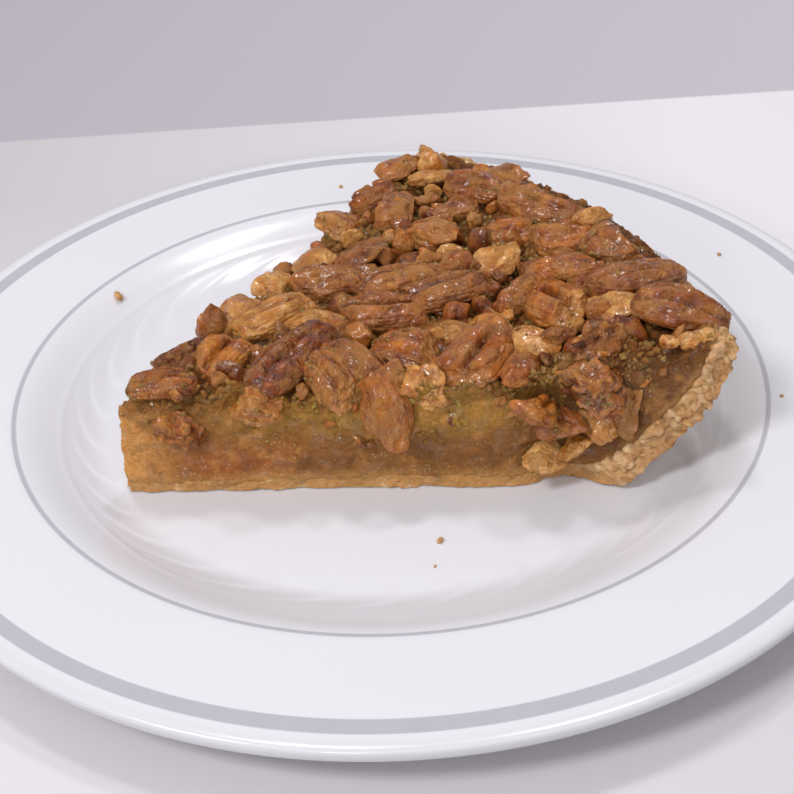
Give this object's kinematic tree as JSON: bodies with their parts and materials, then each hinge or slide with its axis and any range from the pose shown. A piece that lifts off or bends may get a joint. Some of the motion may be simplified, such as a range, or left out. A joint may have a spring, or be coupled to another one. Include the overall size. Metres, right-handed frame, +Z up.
{
  "type": "slice of pecan pie on a plate",
  "caption": "A wedge of pecan pie with a shortcrust base, set custard filling and glazed pecan topping, served on a round white dinner plate with grey rings.",
  "frame": {"origin": "middle of the plate's foot ring, on the table", "axes": "+Z up; the slice's point is towards -X, its crust towards +X, and its front cut looks to -Y"},
  "size_m": [0.228, 0.228, 0.0444],
  "materials": {
    "plate": "glossy white, with a thin grey ring and a wider silver-grey band",
    "crust": "matt baked shortcrust",
    "filling": "moist set custard",
    "pecan_skin": "caramel-glazed nut skin",
    "pecan_flesh": "glazed broken nut flesh"
  },
  "bodies": {
    "root": {"crust": "crust", "filling": "filling", "pecan_chunk_20": "pecan_flesh", "pecan_chunk_23": "pecan_flesh", "pecan_chunk_24": "pecan_flesh", "pecan_chunk_28": "pecan_flesh", "pecan_chunk_29": "pecan_flesh", "pecan_chunk_30": "pecan_flesh", "pecan_chunk_32": "pecan_flesh", "pecan_chunk_35": "pecan_flesh", "pecan_chunk_37": "pecan_flesh", "pecan_chunk_38": "pecan_flesh", "pecan_chunk_39": "pecan_flesh", "pecan_chunk_40": "pecan_flesh", "pecan_chunk_41": "pecan_flesh", "pecan_chunk_42": "pecan_flesh", "pecan_chunk_43": "pecan_flesh", "pecan_chunk_44": "pecan_flesh", "pecan_chunk_45": "pecan_flesh", "pecan_chunk_46": "pecan_flesh", "pecan_chunk_47": "pecan_flesh", "pecan_chunk_48": "pecan_flesh", "pecan_chunk_50": "pecan_flesh", "pecan_chunk_51": "pecan_flesh", "pecan_chunk_53": "pecan_flesh", "pecan_chunk_54": "pecan_flesh", "pecan_chunk_55": "pecan_flesh", "pecan_half_01": "pecan_skin", "pecan_half_02": "pecan_skin", "pecan_half_03": "pecan_skin", "pecan_half_04": "pecan_skin", "pecan_half_05": "pecan_skin", "pecan_half_06": "pecan_skin", "pecan_half_12": "pecan_skin", "pecan_half_15": "pecan_skin", "pecan_half_17": "pecan_skin", "pecan_lobe_09": "pecan_skin", "pecan_lobe_14": "pecan_skin", "pecan_lobe_18": "pecan_skin", "pecan_lobe_19": "pecan_skin", "pecan_lobe_22": "pecan_skin", "pecan_lobe_25": "pecan_skin", "pecan_lobe_26": "pecan_skin", "pecan_lobe_27": "pecan_skin", "pecan_lobe_31": "pecan_skin", "pecan_lobe_33": "pecan_skin", "pecan_lobe_34": "pecan_skin", "pecan_lobe_49": "pecan_skin", "pecan_lobe_52": "pecan_skin", "pecan_snapped_07": "pecan_skin", "pecan_snapped_08": "pecan_skin", "pecan_snapped_10": "pecan_skin", "pecan_snapped_11": "pecan_skin", "pecan_snapped_13": "pecan_skin", "pecan_snapped_16": "pecan_skin", "pecan_snapped_21": "pecan_skin", "pecan_snapped_36": "pecan_skin", "plate": "plate"}
  },
  "joints": []
}
